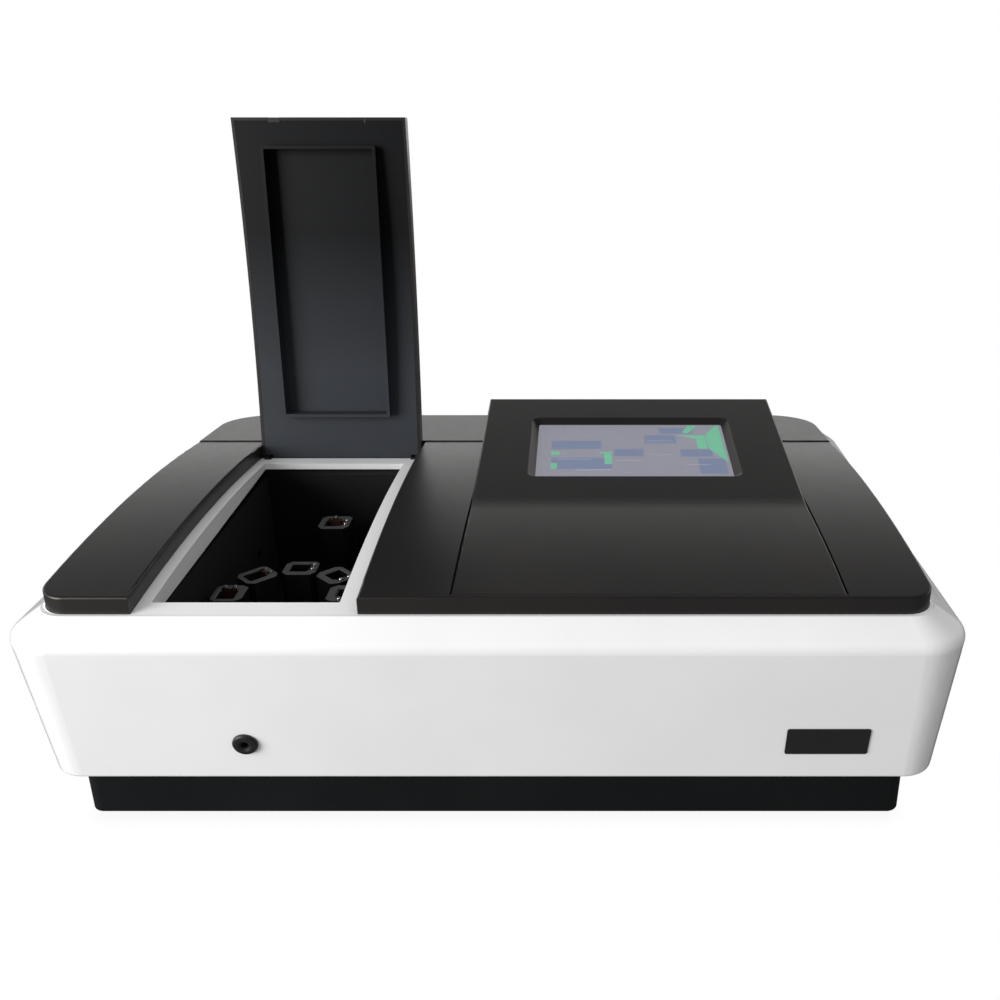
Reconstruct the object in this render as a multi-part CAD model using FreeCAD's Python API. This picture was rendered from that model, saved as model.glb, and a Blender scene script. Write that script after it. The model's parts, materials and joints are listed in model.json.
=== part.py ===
import FreeCAD, Part
import math
import os

# Bench-top UV-visible spectrophotometer: white wedge housing, black arched covers, a lifted
# sample-compartment lid, an eight-place cell carousel and a sloping touch-screen console.
# Millimetres. +X right, +Y to the back, +Z up. Origin: on the bench, under the middle of the body.

# Driving dimensions -----------------------------------------------------------------------
BODY_WIDTH = 608.0
BODY_DEPTH = 445.0
FRONT_OVERHANG = 17.5
FOOT_HEIGHT = 5.5
PLINTH_HALF_WIDTH = 277.0
PLINTH_TOP = 38.5
SHOULDER_Z = 148.0
DECK_Z = 163.2
WALL = 3.0
COVER_WALL = 2.5
COVER_HALF_WIDTH = 279.6
COVER_CORNERS = (18.0, 41.0)
COVER_DEPTH = 400.0
SEAM = 302.4
SEAM_GAP = 1.0
REAR_COVER_PROUD = 0.8
REAR_COVER_END_Z = 167.6
ARCH_RADIUS = 1440.0
ARCH_CROWN_DEPTH = 145.0
ARCH_CROWN_Z = 182.2
DECK_BELOW_COVERS = 11.7
LID_GAP = 0.5
CHANNEL = (-220.8, -79.7)
OPENING_X = (-212.4, -93.5)
OPENING_DEPTH = (13.5, 267.8)
OPENING_CORNER = 1.2
CONSOLE_X = (-22.0, 224.4)
CONSOLE_CREASE = 135.0
CONSOLE_CREASE_RADIUS = 125.0
CONSOLE_BACK = 321.5
CONSOLE_TOP_Z = 207.6
SCREEN_WINDOW = (155.0, 94.0)
SCREEN_BEZEL = 5.8
SCREEN_DEPTH = 4.2
SCREEN_CENTRE = (100.7, 229.5)
HINGE_DEPTH = 285.4
HINGE_Z = 161.8
LID_TAIL_RADIUS = 16.4
LID_OPEN_ANGLE = 94.6
LID_UNDERSIDE = DECK_Z + LID_GAP
CAROUSEL_CENTRE = (-152.9, 96.7)
CAROUSEL_RADIUS = 41.2
CELL_POSITIONS = 8
HOLDER_TOP = 128.5
CELL_FLOOR = 85.0
CUVETTE = 12.9
BEAM_Z = 100.0
REFERENCE_CENTRE = (-146.1, 223.5)
SLOT_OFFSET = (-1.55, 1.65)
CHAMBER_FLOOR = 56.0
FIT = 0.05

# Derived places ---------------------------------------------------------------------------
FRONT = FRONT_OVERHANG - BODY_DEPTH / 2
SAMPLE_BEAM = CAROUSEL_CENTRE[1] + CAROUSEL_RADIUS + SLOT_OFFSET[1]
REFERENCE_BEAM = REFERENCE_CENTRE[1] + SLOT_OFFSET[1]
BEAMS = (SAMPLE_BEAM, REFERENCE_BEAM)
LID_X = (CHANNEL[0] + 0.5, CHANNEL[1] - 1.5)
LID_MID_X = (LID_X[0] + LID_X[1]) / 2
LINER_X = (OPENING_X[0] - 1.9, OPENING_X[1] + 1.9)
PAN_FLOOR = FOOT_HEIGHT + 2.5
BENCH_TOP = 50.0

X = FreeCAD.Vector(1, 0, 0)
Y = FreeCAD.Vector(0, 1, 0)
Z = FreeCAD.Vector(0, 0, 1)
HINGE_POINT = FreeCAD.Vector(0, FRONT + HINGE_DEPTH, HINGE_Z)

# Front face: it leans back from the shoulder to the plinth
PORT_X = -159.6
PORT_Z = 70.0
FACE_SETBACK = 3.0
FACE_LEAN = math.atan((FRONT_OVERHANG + FACE_SETBACK) / (SHOULDER_Z - PLINTH_TOP))
FACE_NORMAL = FreeCAD.Vector(0, -math.cos(FACE_LEAN), -math.sin(FACE_LEAN))
FACE_AT_PORT = FACE_SETBACK - (PORT_Z - PLINTH_TOP) * math.tan(FACE_LEAN)
PLATE_Z = 72.0
FACE_AT_PLATE = FACE_SETBACK - (PLATE_Z - PLINTH_TOP) * math.tan(FACE_LEAN)


# Helpers: a depth d is measured backwards from the front edge of the covers ---------------
def point(x, d, z):
    return FreeCAD.Vector(x, FRONT + d, z)


def box(xs, ds, zs):
    return Part.makeBox(xs[1] - xs[0], ds[1] - ds[0], zs[1] - zs[0], point(xs[0], ds[0], zs[0]))


def block(x, d, width, depth, zs):
    return box((x - width / 2, x + width / 2), (d - depth / 2, d + depth / 2), zs)


def rod(radius, start, axis, length):
    return Part.makeCylinder(radius, length, start, axis)


def fuse(shapes):
    shapes = list(shapes)
    whole = shapes[0].fuse(shapes[1:]) if len(shapes) > 1 else shapes[0]
    return whole.removeSplitter()


def cut(shape, tools):
    return shape.cut(Part.makeCompound(list(tools)))


def rounded_wire(xs, ds, radius, z):
    """Closed rectangle with rounded corners, at one height; radius is one number or (front, back)."""
    front, back = radius if isinstance(radius, tuple) else (radius, radius)
    lean = 1 - math.sqrt(0.5)
    corners = []
    around = ((xs[1], ds[0], front), (xs[1], ds[1], back), (xs[0], ds[1], back), (xs[0], ds[0], front))
    for x, d, r in around:
        inward_x = -r if x == xs[1] else r
        inward_d = r if d == ds[0] else -r
        ends = [(x + inward_x, d), (x, d + inward_d)]
        if len(corners) % 2:
            ends.reverse()
        corners.append((ends[0], (x + inward_x * lean, d + inward_d * lean), ends[1]))
    edges = []
    for index, corner in enumerate(corners):
        start, middle, end = [point(px, pd, z) for px, pd in corner]
        edges.append(Part.Arc(start, middle, end).toShape())
        following = corners[(index + 1) % 4][0]
        edges.append(Part.makeLine(end, point(following[0], following[1], z)))
    return Part.Wire(edges)


def rounded_slab(xs, ds, radius, zs):
    face = Part.Face(rounded_wire(xs, ds, radius, zs[0]))
    return face.extrude(Z * (zs[1] - zs[0]))


def side_prism(outline, xs):
    """Extrude a closed outline of (depth, height) points along X."""
    points = [point(xs[0], d, z) for d, z in outline]
    face = Part.Face(Part.makePolygon(points + points[:1]))
    return face.extrude(X * (xs[1] - xs[0]))


def plan_prism(outline, zs):
    """Extrude a closed outline of (x, depth) points upwards."""
    points = [point(px, pd, zs[0]) for px, pd in outline]
    face = Part.Face(Part.makePolygon(points + points[:1]))
    return face.extrude(Z * (zs[1] - zs[0]))


def turned(profile, at, axis=Z):
    """Solid of revolution from (radius, height) points about an axis through a point."""
    points = [FreeCAD.Vector(r, 0, h) for r, h in profile]
    solid = Part.Face(Part.makePolygon(points + points[:1])).revolve(FreeCAD.Vector(), Z, 360)
    solid.Placement = FreeCAD.Placement(at, FreeCAD.Rotation(Z, axis))
    return solid


def edges_where(shape, test):
    return [edge for edge in shape.Edges if test(edge)]


def save(node, *solids):
    shape = Part.makeCompound(list(solids)) if len(solids) > 1 else solids[0]
    shape.exportStep(os.path.join("parts", node + ".step"))


def screw(at, axis, head_radius, head_height, radius, length):
    """Pan-head screw: the head's flat underside sits at the given point."""
    head = rod(head_radius, at - axis * head_height, axis, head_height)
    socket = rod(head_radius * 0.45, at - axis * head_height, axis, head_height * 0.5)
    return head.cut(socket).fuse(rod(radius, at, axis, length)).removeSplitter()


# Arched top surface shared by the covers and the lid --------------------------------------
def arch_z(depth):
    reach = depth - ARCH_CROWN_DEPTH
    return ARCH_CROWN_Z - ARCH_RADIUS + math.sqrt(ARCH_RADIUS ** 2 - reach ** 2)


def under_arch(xs, drop=0.0, floor=DECK_Z, ds=(-5.0, 310.0)):
    """Everything between a flat floor and the arched surface, lowered by drop."""
    start, middle, end = [point(xs[0], d, arch_z(d) - drop) for d in (ds[0], sum(ds) / 2, ds[1])]
    base = [point(xs[0], ds[1], floor), point(xs[0], ds[0], floor)]
    edges = [Part.Arc(start, middle, end).toShape(), Part.makeLine(end, base[0]),
             Part.makeLine(base[0], base[1]), Part.makeLine(base[1], start)]
    return Part.Face(Part.Wire(edges)).extrude(X * (xs[1] - xs[0]))


# Housing ----------------------------------------------------------------------------------
PAN_DEPTH = (8.8, 413.0)
PAN_TABS = [(side * 262.0, d) for side in (-1, 1) for d in (60.0, 211.0, 362.0)]
FOOT_PLACES = [(side * 235.0, d) for side in (-1, 1) for d in (45.0, 372.0)]
BODY_HALF = BODY_WIDTH / 2
EYE_RADIUS = 3.0
PIN_RADIUS = 1.25
EARS = [(LID_X[0] + 3.0, LID_X[0] + 5.8), (LID_X[1] - 5.8, LID_X[1] - 3.0)]
CHEEKS = [(LID_X[0] + 6.1, LID_X[0] + 8.5), (LID_X[1] - 8.5, LID_X[1] - 6.1)]
EAR_BAYS = [(LID_X[0] + 2.6, LID_X[0] + 9.0), (LID_X[1] - 9.0, LID_X[1] - 2.6)]
SCREW_RADIUS = 1.7
SHELL_SECTIONS = [
    ((-BODY_HALF + 6.0, BODY_HALF - 6.0), (FACE_SETBACK, 421.0), (24.0, 44.0), PLINTH_TOP),
    ((-BODY_HALF, BODY_HALF), (-FRONT_OVERHANG, BODY_DEPTH - FRONT_OVERHANG), (34.0, 56.0), SHOULDER_Z),
    ((-282.5, 282.5), (-2.5, 406.0), (19.0, 43.0), DECK_Z)]
SHOULDER_ROUNDING = 9.0
BOTTOM_ROUNDING = 3.0
REAR_OPENING_X = (-150.0, 235.0)
REAR_OPENING_Z = (54.5, 135.5)
REAR_PLATE = (414.5, 417.0)
CONSOLE_HATCH = ((0.0, 205.0), (30.0, 285.0))
LIP_HEIGHTS = (9.2, 2.8)


def base_pan():
    outer = rounded_slab((-PLINTH_HALF_WIDTH, PLINTH_HALF_WIDTH), PAN_DEPTH, 9.0,
                         (FOOT_HEIGHT, PLINTH_TOP))
    bottom = edges_where(outer, lambda e: e.BoundBox.ZMax < FOOT_HEIGHT + 0.01)
    outer = outer.makeFillet(2.0, bottom)
    inner = rounded_slab((-PLINTH_HALF_WIDTH + 2.5, PLINTH_HALF_WIDTH - 2.5),
                         (PAN_DEPTH[0] + 2.5, PAN_DEPTH[1] - 2.5), 6.5, (PAN_FLOOR, PLINTH_TOP + 1))
    tabs = [block(x + math.copysign(1.5, x), d, 18.0, 20.0, (PLINTH_TOP - 2.5, PLINTH_TOP))
            for x, d in PAN_TABS]
    legs = [block(x, d, 16.0, 16.0, (PAN_FLOOR - 0.5, 38.0)) for x, d in BENCH_LEGS]
    pan = fuse([outer.cut(inner)] + tabs + legs)
    holes = [rod(SCREW_RADIUS + FIT, point(x, d, 30), Z, 20) for x, d in PAN_TABS]
    vents = [block(x, 330.0, 3.0, 60.0, (0, PAN_FLOOR + 1)) for x in range(180, 241, 10)]
    foot_holes = [rod(4.0 + FIT, point(x, d, 0), Z, 20) for x, d in FOOT_PLACES]
    return cut(pan, holes + vents + foot_holes)


def rubber_feet():
    profile = [(0, 0), (13.5, 0), (15, 1.5), (16, FOOT_HEIGHT), (4.0, FOOT_HEIGHT),
               (4.0, PAN_FLOOR), (5.0, PAN_FLOOR), (3.0, PAN_FLOOR + 4.0), (0, PAN_FLOOR + 4.0)]
    return [turned(profile, point(x, d, 0)) for x, d in FOOT_PLACES]


def shell_body(inset, sections):
    wires = []
    for xs, ds, radius, z in sections:
        wires.append(rounded_wire((xs[0] + inset, xs[1] - inset), (ds[0] + inset, ds[1] - inset),
                                  tuple(corner - inset for corner in radius), z))
    return Part.makeLoft(wires, True, True)


BEVEL_FOOT = (4.5, 150.6)
BEVEL_ROOT = 158.0
BEVEL_STATIONS = (1.0, 3.0, 5.0, 7.5, 10.0, 14.0, 18.0, 40.0, 65.0, 90.0, 117.0, 145.0, 173.0, 200.0,
                  225.0, 250.0, 270.0, 289.0)


def arched_bevel(side):
    """Filling between shoulder and cover that lifts the bevel to the arch of the covers."""
    shoulder_corner, cover_corner = SHELL_SECTIONS[1][2][0], COVER_CORNERS[0]
    sections = []
    for d in BEVEL_STATIONS:
        outside = corner_reach(BODY_HALF, shoulder_corner, d + FRONT_OVERHANG) - BEVEL_FOOT[0]
        inside = corner_reach(COVER_HALF_WIDTH + 0.4, cover_corner + 0.4, d + 0.4)
        top = arch_z(d) - DECK_BELOW_COVERS
        corners = [point(side * x, d, z) for x, z in
                   ((outside, BEVEL_FOOT[1]), (inside, BEVEL_ROOT), (inside, top))]
        sections.append(Part.makePolygon(corners + corners[:1]))
    return Part.makeLoft(sections, True, True)


def corner_reach(half, radius, behind_front):
    """Half width of a rounded outline at a distance behind its front edge."""
    short = max(radius - behind_front, 0.0)
    return half - radius + math.sqrt(radius ** 2 - short ** 2)


def housing_shell():
    outer = shell_body(0.0, SHELL_SECTIONS)
    at_shoulder = edges_where(outer, lambda e: abs(e.BoundBox.ZMin - SHOULDER_Z) < 0.01
                              and abs(e.BoundBox.ZMax - SHOULDER_Z) < 0.01)
    outer = outer.makeFillet(SHOULDER_ROUNDING, at_shoulder)
    at_bottom = edges_where(outer, lambda e: e.BoundBox.ZMax < PLINTH_TOP + 0.01)
    outer = outer.makeFillet(BOTTOM_ROUNDING, at_bottom)
    lower, shoulder, deck = SHELL_SECTIONS
    hollow = shell_body(WALL, [lower[:3] + (PLINTH_TOP + WALL,), shoulder,
                               deck[:3] + (DECK_Z - WALL,)])
    flange_hole = rounded_slab((-254.0, 254.0), (22.0, 400.0), 8.0, (PLINTH_TOP - 1, PLINTH_TOP + 5))
    shell = cut(outer, [hollow, flange_hole])
    posts = [rod(6.0, point(x, d, PLINTH_TOP + 1), Z, DECK_Z - PLINTH_TOP - 3) for x, d in PAN_TABS]
    lip_frame = rounded_slab((OPENING_X[0] - WALL, OPENING_X[1] + WALL),
                             (OPENING_DEPTH[0] - WALL, OPENING_DEPTH[1] + WALL),
                             OPENING_CORNER + WALL, (DECK_Z - LIP_HEIGHTS[0], DECK_Z - 1.0))
    front_d, back_d = OPENING_DEPTH[0] - 10, OPENING_DEPTH[1] + 10
    trim = side_prism([(front_d, DECK_Z - 20), (back_d, DECK_Z - 20), (back_d, DECK_Z - LIP_HEIGHTS[1]),
                       (front_d, DECK_Z - LIP_HEIGHTS[0])], (-240.0, -60.0))
    raised_deck = under_arch((CHANNEL[0] + 0.1, CHANNEL[1] - 0.1), DECK_BELOW_COVERS, DECK_Z - 1.0,
                             (0.5, 289.0))
    bevels = [arched_bevel(side) for side in (-1, 1)]
    shell = fuse([shell, lip_frame.cut(trim), raised_deck] + bevels + posts)
    over = DECK_Z + 10.0
    opening = rounded_slab(OPENING_X, OPENING_DEPTH, OPENING_CORNER, (DECK_Z - 30, over))
    hinge_slot = box((CHANNEL[0] + 0.1, CHANNEL[1] - 0.1), (HINGE_DEPTH + 0.8, SEAM - 0.3),
                     (DECK_Z - 12, over))
    notches = [box(xs, (HINGE_DEPTH - EYE_RADIUS - 0.5, HINGE_DEPTH + 2.0), (DECK_Z - 12, over))
               for xs in EAR_BAYS]
    hatch = box(CONSOLE_HATCH[0], CONSOLE_HATCH[1], (DECK_Z - 5, DECK_Z + 1))
    rear = box(REAR_OPENING_X, (405.0, 440.0), REAR_OPENING_Z)
    port = rod(6.0, point(PORT_X, FACE_AT_PORT, PORT_Z) + FACE_NORMAL * 10.0, FACE_NORMAL * -1, 25.0)
    tab_holes = [rod(SCREW_RADIUS + FIT, point(x, d, PLINTH_TOP - 1), Z, 10) for x, d in PAN_TABS]
    cover_holes = [rod(SCREW_RADIUS + FIT, point(x, d, DECK_Z - 8), Z, 10) for x, d in COVER_SCREWS]
    louvres = [box((290.0, 310.0), (d, d + 4.0), (72.0, 124.0)) for d in range(250, 371, 12)]
    return cut(shell, [opening, hinge_slot, hatch, rear, port] + notches + tab_holes + cover_holes
               + louvres)


def tube_port():
    profile = [(2.75, -4.5), (5.0, -4.5), (5.95, -3.2), (5.95, 0.0), (8.3, 0.0), (8.3, 1.4),
               (7.4, 2.6), (4.6, 2.9), (2.75, 2.0)]
    return turned(profile, point(PORT_X, FACE_AT_PORT, PORT_Z), FACE_NORMAL)


def name_plate():
    plate = rounded_slab((-27.0, 27.0), (-11.0 - FRONT, 11.0 - FRONT), 1.5, (0, 0.8))
    plate.rotate(FreeCAD.Vector(), X, 90.0 + math.degrees(FACE_LEAN))
    plate.translate(point(219.0, FACE_AT_PLATE - 0.02, PLATE_Z))
    return plate


COVER_SCREWS = [(-262.0, 40.0), (-262.0, 270.0), (-70.0, 40.0), (-70.0, 270.0),
                (262.0, 40.0), (262.0, 270.0)]


def cover_blank(xs, ds, floor, drop=0.0, inset=0.0):
    """Arched slab with the rounded plan corners of the black top."""
    plan = rounded_slab((-COVER_HALF_WIDTH + inset, COVER_HALF_WIDTH - inset),
                        (inset, COVER_DEPTH - inset), tuple(r - inset for r in COVER_CORNERS),
                        (floor, 230.0))
    strip = box((xs[0] + inset, xs[1] - inset), (ds[0] + inset, ds[1] - inset), (floor, 230.0))
    return plan.common(strip).common(under_arch((-300.0, 300.0), drop, floor))


def screw_holes(places):
    return [rod(SCREW_RADIUS + FIT, point(x, d, DECK_Z - 1), Z, 9.0) for x, d in places]


def soften(shape, radius, test):
    return shape.makeFillet(radius, edges_where(shape, test))


def on_top(edge):
    """An edge of the arched top, other than the cross seam at the back."""
    box_of = edge.BoundBox
    if box_of.YMin > FRONT + SEAM - 2.0:
        return False
    if box_of.XLength < 0.01 and box_of.ZLength > 0.1 and box_of.YLength < 0.01:
        return False
    return box_of.ZMin > DECK_Z + 5.0


def left_cover():
    xs = (-COVER_HALF_WIDTH - 5, CHANNEL[0])
    ds = (-5.0, SEAM - SEAM_GAP / 2)
    outer = soften(cover_blank(xs, ds, DECK_Z), 1.6, on_top)
    hollow = cover_blank(xs, ds, DECK_Z - 1, COVER_WALL, COVER_WALL)
    bosses = [rod(4.0, point(x, d, DECK_Z), Z, 12.0) for x, d in COVER_SCREWS[:2]]
    shell = fuse([outer.cut(hollow)] + bosses)
    return cut(shell, screw_holes(COVER_SCREWS[:2]))


def right_cover():
    xs = (CHANNEL[1], COVER_HALF_WIDTH + 5)
    ds = (-5.0, SEAM - SEAM_GAP / 2)
    outer = soften(cover_blank(xs, ds, DECK_Z), 1.6, on_top)
    hollow = cover_blank(xs, ds, DECK_Z - 1, COVER_WALL, COVER_WALL)
    well = box((CONSOLE_X[0] - 0.5, CONSOLE_X[1] + 0.5), (3.4, SEAM + 5), (DECK_Z - 2, 230.0))
    rails = [box((CONSOLE_X[0] - 3.0, CONSOLE_X[0] - 0.5), (3.4, SEAM - 3), (DECK_Z, 172.0)),
             box((CONSOLE_X[1] + 0.5, CONSOLE_X[1] + 3.0), (3.4, SEAM - 3), (DECK_Z, 172.0))]
    bosses = [rod(4.0, point(x, d, DECK_Z), Z, 12.0) for x, d in COVER_SCREWS[2:]]
    shell = fuse([outer.cut(hollow).cut(well)] + rails + bosses)
    return cut(shell, screw_holes(COVER_SCREWS[2:]))


def rear_slope(drop, front, floor):
    """Everything below the rear cover's gently falling top, lowered by drop."""
    behind = COVER_DEPTH + 5.0
    return side_prism([(front, floor), (front, arch_z(SEAM) + REAR_COVER_PROUD - drop),
                       (behind, REAR_COVER_END_Z - drop), (behind, floor)], (-300.0, 300.0))


def rear_cover():
    start = SEAM + SEAM_GAP / 2
    half = COVER_HALF_WIDTH
    plan = rounded_slab((-half, half), (0.0, COVER_DEPTH), COVER_CORNERS, (DECK_Z - 1, 230.0))
    inner_plan = rounded_slab((-half + COVER_WALL, half - COVER_WALL),
                              (start + COVER_WALL, COVER_DEPTH - COVER_WALL),
                              (2.0, COVER_CORNERS[1] - COVER_WALL), (DECK_Z - 2, 230))

    def rim(edge):
        spot = edge.BoundBox
        return spot.ZMin > DECK_Z + 2.0 and spot.YMax > FRONT + start + 1.0
    outer = soften(plan.common(rear_slope(0.0, start, DECK_Z)), 1.6, rim)
    return outer.cut(inner_plan.common(rear_slope(COVER_WALL, start, DECK_Z - 2)))


# Console ----------------------------------------------------------------------------------
CONSOLE_FRONT = 3.8
SLOPE = math.atan((CONSOLE_TOP_Z - arch_z(CONSOLE_CREASE)) / (CONSOLE_BACK - CONSOLE_CREASE))
CONSOLE_WALL = 2.5
REAR_LEDGE = 175.0


def on_slope(across, along, depth):
    """A point of the console's sloping plate: X, distance up the slope, depth below it."""
    d = CONSOLE_CREASE + along * math.cos(SLOPE) + depth * math.sin(SLOPE)
    z = arch_z(CONSOLE_CREASE) + along * math.sin(SLOPE) - depth * math.cos(SLOPE)
    return point(across, d, z)


def slope_slab(width, length, radius, depths, at=None):
    """Rounded slab parallel to the sloping plate, centred on the screen."""
    middle = at or SCREEN_CENTRE
    along = (middle[1] - CONSOLE_CREASE) / math.cos(SLOPE)
    slab = rounded_slab((-width / 2, width / 2), (-length / 2 - FRONT, length / 2 - FRONT), radius,
                        (-depths[1], -depths[0]))
    slab.rotate(FreeCAD.Vector(), X, math.degrees(SLOPE))
    slab.translate(on_slope(middle[0], along, 0.0))
    return slab


def screen_funnel():
    """Chamfered recess that narrows from the plate's face to the screen window."""
    wires = []
    for grow, height, radius in ((2 * SCREEN_BEZEL, 0.0, 7.0), (0.0, -SCREEN_DEPTH, 2.0)):
        width = SCREEN_WINDOW[0] + grow
        length = SCREEN_WINDOW[1] + grow
        wires.append(rounded_wire((-width / 2, width / 2), (-length / 2 - FRONT, length / 2 - FRONT),
                                  radius, height))
    funnel = Part.makeLoft(wires, True, True)
    above = rounded_slab((-90.0, 90.0), (-55.0 - FRONT, 55.0 - FRONT), 7.0, (0, 1)).common(
        Part.Face(wires[0]).extrude(Z))
    funnel = funnel.fuse(above)
    along = (SCREEN_CENTRE[1] - CONSOLE_CREASE) / math.cos(SLOPE)
    funnel.rotate(FreeCAD.Vector(), X, math.degrees(SLOPE))
    funnel.translate(on_slope(SCREEN_CENTRE[0], along, 0.0))
    return funnel


def crease_centre():
    """Centre of the soft concave blend: one radius above the slope, tangent to the arch."""
    start = (CONSOLE_CREASE - CONSOLE_CREASE_RADIUS * math.sin(SLOPE) - ARCH_CROWN_DEPTH,
             arch_z(CONSOLE_CREASE) + CONSOLE_CREASE_RADIUS * math.cos(SLOPE)
             - (ARCH_CROWN_Z - ARCH_RADIUS))
    reach = ARCH_RADIUS + CONSOLE_CREASE_RADIUS
    along = start[0] * math.cos(SLOPE) + start[1] * math.sin(SLOPE)
    slide = -along + math.sqrt(along ** 2 - (start[0] ** 2 + start[1] ** 2 - reach ** 2))
    return (start[0] + slide * math.cos(SLOPE) + ARCH_CROWN_DEPTH,
            start[1] + slide * math.sin(SLOPE) + ARCH_CROWN_Z - ARCH_RADIUS)


def console_block(inset, drop, floor):
    """Solid under the console's skin: arched front part, soft crease, then the sloping plate."""
    xs = (CONSOLE_X[0] + inset, CONSOLE_X[1] - inset)
    front, back = CONSOLE_FRONT + inset, CONSOLE_BACK - inset
    centre_d, centre_z = crease_centre()
    tilt = math.atan((ARCH_CROWN_DEPTH - centre_d) / (centre_z - ARCH_CROWN_Z + ARCH_RADIUS))
    blend = []
    for turn in (tilt, (tilt + SLOPE) / 2, SLOPE):
        blend.append(point(xs[0], centre_d + CONSOLE_CREASE_RADIUS * math.sin(turn),
                           centre_z - CONSOLE_CREASE_RADIUS * math.cos(turn) - drop))
    top_z = arch_z(CONSOLE_CREASE) - drop + (back - CONSOLE_CREASE) * math.tan(SLOPE)
    meeting = centre_d + CONSOLE_CREASE_RADIUS * math.sin(tilt)
    arch = [point(xs[0], d, arch_z(d) - drop) for d in (front, (front + meeting) / 2)]
    top, heel, toe = point(xs[0], back, top_z), point(xs[0], back + 1.5, floor), point(xs[0], front, floor)
    edges = [Part.Arc(arch[0], arch[1], blend[0]).toShape(), Part.Arc(*blend).toShape(),
             Part.makeLine(blend[2], top), Part.makeLine(top, heel), Part.makeLine(heel, toe),
             Part.makeLine(toe, arch[0])]
    return Part.Face(Part.Wire(edges)).extrude(X * (xs[1] - xs[0]))


def display_console():
    floor = DECK_Z + 0.3
    outer = console_block(0.0, 0.0, floor)

    def visible_rim(edge):
        spot = edge.BoundBox
        on_side = spot.XLength < 0.01 and spot.ZMin > 180.0 and spot.YMin > FRONT + 140.0
        at_back = spot.ZMin > CONSOLE_TOP_Z - 0.6
        return on_side or at_back
    outer = soften(outer, 1.8, visible_rim)
    hollow = console_block(CONSOLE_WALL, CONSOLE_WALL, floor - 1)
    frame = slope_slab(188.0, 122.0, 4.0, (CONSOLE_WALL - 0.5, SCREEN_DEPTH + 1.0))
    ledge_cut = box((-40.0, 240.0), (SEAM - 0.4, 340.0), (DECK_Z - 3, REAR_LEDGE))
    shell = fuse([outer.cut(hollow), frame.common(outer)])
    pocket = slope_slab(170.4, 108.4, 2.2, (SCREEN_DEPTH, SCREEN_DEPTH + 3.0))
    return cut(shell, [screen_funnel(), ledge_cut, pocket])


def touch_glass():
    return slope_slab(170.0, 108.0, 2.0, (SCREEN_DEPTH, SCREEN_DEPTH + 1.1))


def screen_panel():
    return slope_slab(165.0, 104.0, 1.0, (SCREEN_DEPTH + 1.2, SCREEN_DEPTH + 6.7))


def display_board():
    board = slope_slab(150.0, 90.0, 2.0, (SCREEN_DEPTH + 9.5, SCREEN_DEPTH + 11.1))
    chips = [slope_slab(w, w, 0.5, (SCREEN_DEPTH + 11.0, SCREEN_DEPTH + 13.2), (x, d))
             for x, d, w in ((80.0, 220.0, 24.0), (120.0, 226.0, 18.0), (140.0, 206.0, 12.0))]
    plug = slope_slab(30.0, 7.0, 0.8, (SCREEN_DEPTH + 6.7, SCREEN_DEPTH + 9.6), (60.0, 240.0))
    return fuse([board, plug] + chips)


# Lid, drawn closed and then swung open about its hinge ------------------------------------
RIM_X = (LID_MID_X - 46.9, LID_MID_X + 45.1)
RIM_DEPTH = (24.4, 246.0)
LID_FRONT = 3.0
LINER_THICKNESS = 2.5
MAGNET = ((-190.9, -181.4), (LID_FRONT, LID_FRONT + 3.8))
CATCH = ((-114.3, -113.0), (LID_FRONT + 0.8, LID_FRONT + 4.2))


def opened(shape):
    shape.rotate(HINGE_POINT, X, -LID_OPEN_ANGLE)
    return shape


def around_hinge(radius):
    return rod(radius, point(-260.0, HINGE_DEPTH, HINGE_Z), X, 220.0)


def lid_blank(inset, drop, tail, floor):
    xs = (LID_X[0] + inset, LID_X[1] - inset)
    body = under_arch(xs, drop, floor, (LID_FRONT + inset, 308.0))
    ahead = box((-240.0, -60.0), (-5.0, HINGE_DEPTH), (DECK_Z - 20, 200.0))
    return body.common(ahead.fuse(around_hinge(tail)))


def below_lid_plate(lift=0.0):
    """Everything under the lid's arched underside, raised by lift."""
    drop = DECK_BELOW_COVERS - LID_GAP - lift
    return under_arch((-240.0, -60.0), drop, DECK_Z - 8.0, (-5.0, HINGE_DEPTH + 13.0))


def lid_end_seats():
    """Seats for the magnet and the catch tab, open at the lid's free end."""
    return [box(MAGNET[0], (LID_FRONT - 1, MAGNET[1][1]), (LID_UNDERSIDE - 1, LID_UNDERSIDE + 2.0)),
            box(CATCH[0], CATCH[1], (LID_UNDERSIDE - 1, LID_UNDERSIDE + 1.8))]


def lid_shell():
    outer = lid_blank(0.0, 0.0, LID_TAIL_RADIUS, LID_UNDERSIDE)

    def crisp(edge):
        spot = edge.BoundBox
        return spot.ZMin > DECK_Z + 6.0 and spot.YMax < FRONT + HINGE_DEPTH + 9.0
    outer = soften(outer, 1.5, crisp)
    hollow = lid_blank(COVER_WALL, COVER_WALL, LID_TAIL_RADIUS - COVER_WALL, LID_UNDERSIDE - 1)
    return opened(cut(outer, [hollow, below_lid_plate()] + lid_end_seats()))


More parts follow.
